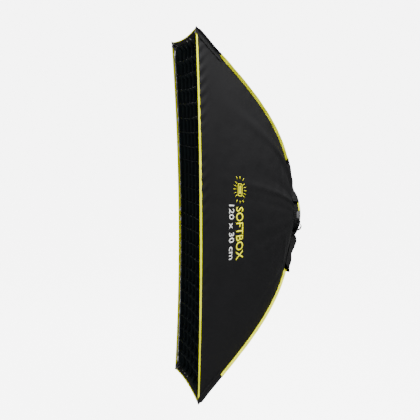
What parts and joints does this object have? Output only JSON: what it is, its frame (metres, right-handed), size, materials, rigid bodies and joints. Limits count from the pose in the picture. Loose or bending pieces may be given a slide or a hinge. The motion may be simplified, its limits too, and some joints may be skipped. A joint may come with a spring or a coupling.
{
  "type": "strip softbox",
  "caption": "Tall narrow light softbox: black fabric shell on bent rods over a rotating bayonet speed ring, with front diffuser, inner baffle and fabric grid.",
  "frame": {"origin": "centre of the bayonet plate's seating face, where the lamp head's front meets it", "axes": "+Z along the box's long side, -Y the way the light leaves, +Y towards the lamp head, +X across the box"},
  "size_m": [0.3038, 0.407, 1.2022],
  "materials": {
    "bayonet_steel": "zinc-plated pressed steel",
    "keeper_steel": "black",
    "screw_steel": "plated",
    "ring_alloy": "satin black powder coat",
    "socket_alloy": "turned",
    "ferrule_steel": "plated",
    "cap_plastic": "moulded",
    "rod_fibreglass": "black pultruded fibreglass",
    "knob_plastic": "moulded",
    "pad_nylon": "natural nylon",
    "shell_nylon": "black woven nylon, silver coated inside",
    "trim_nylon": "black reinforced nylon",
    "binding_tape": "lemon yellow woven binding tape",
    "hook_tape": "black hook tape",
    "diffuser_cloth": "white translucent nylon",
    "diffuser_web": "white webbing",
    "grid_cloth": "black nylon",
    "neck_elastic": "black elastic"
  },
  "bodies": {
    "adapter": {"bayonet_plate": "bayonet_steel", "keeper_ring": "keeper_steel", "keeper_screw_1": "screw_steel", "keeper_screw_2": "screw_steel", "keeper_screw_3": "screw_steel", "keeper_screw_4": "screw_steel"},
    "softbox": {"baffle_tab_bottom_left": "diffuser_web", "baffle_tab_bottom_right": "diffuser_web", "baffle_tab_top_left": "diffuser_web", "baffle_tab_top_right": "diffuser_web", "corner_pocket_bottom_left": "trim_nylon", "corner_pocket_bottom_right": "trim_nylon", "corner_pocket_top_left": "trim_nylon", "corner_pocket_top_right": "trim_nylon", "inner_baffle": "diffuser_cloth", "inner_hook_tape": "hook_tape", "neck_band": "neck_elastic", "neck_hem": "binding_tape", "neck_loop": "neck_elastic", "panel_bottom": "shell_nylon", "panel_left": "shell_nylon", "panel_right": "shell_nylon", "panel_top": "shell_nylon", "rim_hook_tape": "hook_tape", "rim_tape_bottom": "binding_tape", "rim_tape_left": "binding_tape", "rim_tape_right": "binding_tape", "rim_tape_top": "binding_tape", "rod_bottom_left": "rod_fibreglass", "rod_bottom_right": "rod_fibreglass", "rod_cap_bottom_left": "cap_plastic", "rod_cap_bottom_right": "cap_plastic", "rod_cap_top_left": "cap_plastic", "rod_cap_top_right": "cap_plastic", "rod_ferrule_bottom_left": "ferrule_steel", "rod_ferrule_bottom_right": "ferrule_steel", "rod_ferrule_top_left": "ferrule_steel", "rod_ferrule_top_right": "ferrule_steel", "rod_socket_bottom_left": "socket_alloy", "rod_socket_bottom_right": "socket_alloy", "rod_socket_top_left": "socket_alloy", "rod_socket_top_right": "socket_alloy", "rod_top_left": "rod_fibreglass", "rod_top_right": "rod_fibreglass", "seam_tape_bottom_left": "binding_tape", "seam_tape_bottom_right": "binding_tape", "seam_tape_top_left": "binding_tape", "seam_tape_top_right": "binding_tape", "speed_ring": "ring_alloy"},
    "lock_pad": {"lock_pad": "pad_nylon"},
    "lock_knob": {"lock_knob": "knob_plastic"},
    "diffuser": {"front_diffuser": "diffuser_cloth", "diffuser_border": "diffuser_web"},
    "grid": {"grid_lattice": "grid_cloth", "grid_border": "grid_cloth"},
    "flap_top_right": {"access_flap_top_right": "trim_nylon"},
    "flap_top_left": {"access_flap_top_left": "trim_nylon"},
    "flap_bottom_right": {"access_flap_bottom_right": "trim_nylon"},
    "flap_bottom_left": {"access_flap_bottom_left": "trim_nylon"}
  },
  "joints": [
    {"name": "softbox_turn", "type": "hinge", "parent": "adapter", "child": "softbox", "pos_m": [0, 0, 0], "axis": [0, 1, 0], "continuous": true},
    {"name": "lock_pad_travel", "type": "slide", "parent": "softbox", "child": "lock_pad", "axis": [-1, 0, 0], "range_m": [0, 0.0021]},
    {"name": "lock_knob_turn", "type": "hinge", "parent": "lock_pad", "child": "lock_knob", "pos_m": [-0.0706, -0.0133, 0], "axis": [-1, 0, 0], "range_deg": [0, 720]},
    {"name": "diffuser_pull", "type": "slide", "parent": "softbox", "child": "diffuser", "axis": [0, -1, 0], "range_m": [0, 0.1]},
    {"name": "grid_pull", "type": "slide", "parent": "diffuser", "child": "grid", "axis": [0, -1, 0], "range_m": [0, 0.08]},
    {"name": "flap_open_top_right", "type": "hinge", "parent": "softbox", "child": "flap_top_right", "pos_m": [0.07654, -0.03572, 0.11519], "axis": [-0.0709, 0.2235, -0.9721], "range_deg": [0, 95]},
    {"name": "flap_open_top_left", "type": "hinge", "parent": "softbox", "child": "flap_top_left", "pos_m": [-0.07654, -0.03572, 0.11519], "axis": [-0.0709, -0.2235, 0.9721], "range_deg": [0, 95]},
    {"name": "flap_open_bottom_right", "type": "hinge", "parent": "softbox", "child": "flap_bottom_right", "pos_m": [0.07654, -0.03572, -0.11519], "axis": [0.0709, -0.2235, -0.9721], "range_deg": [0, 95]},
    {"name": "flap_open_bottom_left", "type": "hinge", "parent": "softbox", "child": "flap_bottom_left", "pos_m": [-0.07654, -0.03572, -0.11519], "axis": [0.0709, 0.2235, 0.9721], "range_deg": [0, 95]}
  ],
  "couplings": [
    {"joint": "lock_pad_travel", "follows": "lock_knob_turn", "m_per_rad": 0.00015915}
  ]
}
